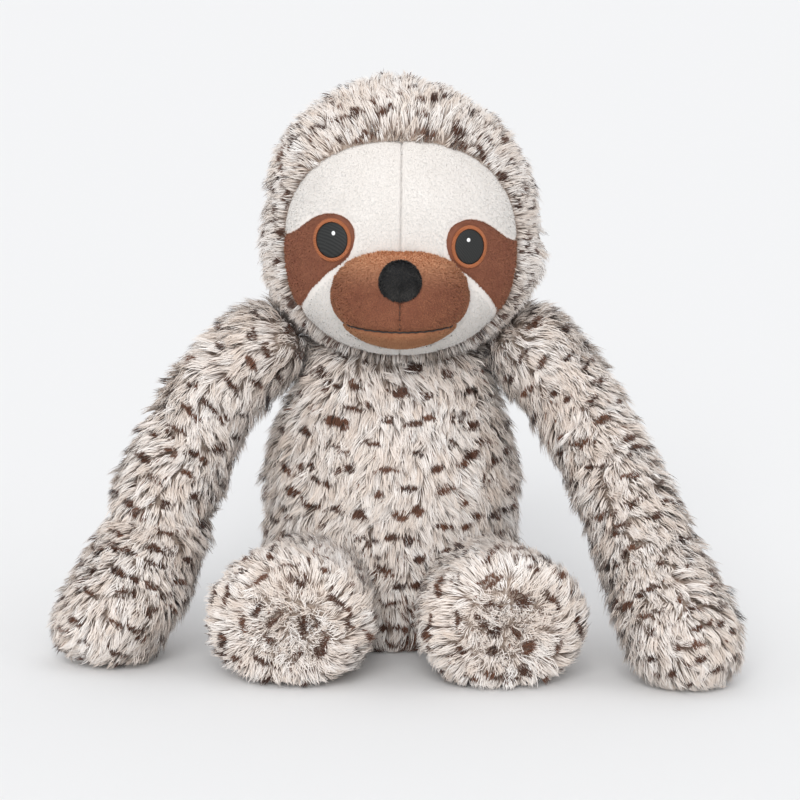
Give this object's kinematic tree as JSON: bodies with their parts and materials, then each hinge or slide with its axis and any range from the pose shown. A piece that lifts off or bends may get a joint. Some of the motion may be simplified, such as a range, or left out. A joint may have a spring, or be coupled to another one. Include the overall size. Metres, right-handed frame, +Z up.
{
  "type": "plush sloth toy",
  "caption": "Seated stuffed sloth toy with long floppy arms, short legs, a turning and nodding head, spotted long-pile cover, short-pile face, eye patches and a domed muzzle.",
  "frame": {"origin": "middle of the oval seat panel, on the surface that the toy sits on", "axes": "+Z up; the face and feet point to -Y; +X is the toy's own left"},
  "size_m": [0.3214, 0.1704, 0.2746],
  "materials": {
    "spotted_fur": "long-pile faux fur, cream with short dark brown dashes",
    "face_velboa": "white short-pile velboa",
    "brown_velboa": "brown short-pile velboa",
    "black_flock": "black flocked velvet",
    "black_thread": "black satin-stitch embroidery thread",
    "rust_thread": "rust satin-stitch embroidery thread",
    "stuffing": "white polyester fibre filling",
    "pellet_cloth": "plain woven lining bag of plastic pellets"
  },
  "bodies": {
    "root": {"torso_front_panel": "spotted_fur", "torso_back_panel": "spotted_fur", "seat_panel": "spotted_fur", "torso_filling": "stuffing", "pellet_bag": "pellet_cloth"},
    "neck": {"neck_filling": "stuffing"},
    "head": {"head_left_panel": "spotted_fur", "head_right_panel": "spotted_fur", "head_filling": "stuffing", "face_left_panel": "face_velboa", "face_right_panel": "face_velboa", "left_eye_patch": "brown_velboa", "right_eye_patch": "brown_velboa", "left_eye_ring": "rust_thread", "right_eye_ring": "rust_thread", "left_eye": "black_thread", "right_eye": "black_thread", "muzzle_upper_panel": "brown_velboa", "chin_panel": "brown_velboa", "muzzle_filling": "stuffing", "mouth_thread": "black_thread", "nose": "black_flock"},
    "left_shoulder": {"left_shoulder_filling": "stuffing"},
    "left_arm": {"left_arm_inner_panel": "spotted_fur", "left_arm_outer_panel": "spotted_fur", "left_arm_filling": "stuffing"},
    "right_shoulder": {"right_shoulder_filling": "stuffing"},
    "right_arm": {"right_arm_inner_panel": "spotted_fur", "right_arm_outer_panel": "spotted_fur", "right_arm_filling": "stuffing"},
    "left_leg": {"left_leg_upper_panel": "spotted_fur", "left_leg_lower_panel": "spotted_fur", "left_sole_panel": "spotted_fur", "left_leg_filling": "stuffing"},
    "right_leg": {"right_leg_upper_panel": "spotted_fur", "right_leg_lower_panel": "spotted_fur", "right_sole_panel": "spotted_fur", "right_leg_filling": "stuffing"}
  },
  "joints": [
    {"name": "neck_turn", "type": "hinge", "parent": "root", "child": "neck", "pos_m": [0, -0.004, 0.1526], "axis": [0, 0, 1], "range_deg": [-18, 18]},
    {"name": "head_nod", "type": "hinge", "parent": "neck", "child": "head", "pos_m": [0, -0.004, 0.1526], "axis": [1, 0, 0], "range_deg": [-12, 4], "stiffness_Nm_per_rad": 0.3},
    {"name": "left_arm_swing", "type": "hinge", "parent": "root", "child": "left_shoulder", "pos_m": [0.06159, -0.004, 0.14475], "axis": [-1, 0, 0], "range_deg": [-15, 75]},
    {"name": "left_arm_raise", "type": "hinge", "parent": "left_shoulder", "child": "left_arm", "pos_m": [0.06159, -0.004, 0.14475], "axis": [0, -1, 0], "range_deg": [-5, 60]},
    {"name": "right_arm_swing", "type": "hinge", "parent": "root", "child": "right_shoulder", "pos_m": [-0.06159, -0.004, 0.14475], "axis": [-1, 0, 0], "range_deg": [-15, 75]},
    {"name": "right_arm_raise", "type": "hinge", "parent": "right_shoulder", "child": "right_arm", "pos_m": [-0.06159, -0.004, 0.14475], "axis": [0, 1, 0], "range_deg": [-5, 60]},
    {"name": "left_leg_lift", "type": "hinge", "parent": "root", "child": "left_leg", "pos_m": [0.03843, -0.046, 0.0295], "axis": [-1, 0, 0], "range_deg": [0, 20]},
    {"name": "right_leg_lift", "type": "hinge", "parent": "root", "child": "right_leg", "pos_m": [-0.03843, -0.046, 0.0295], "axis": [-1, 0, 0], "range_deg": [0, 20]}
  ]
}
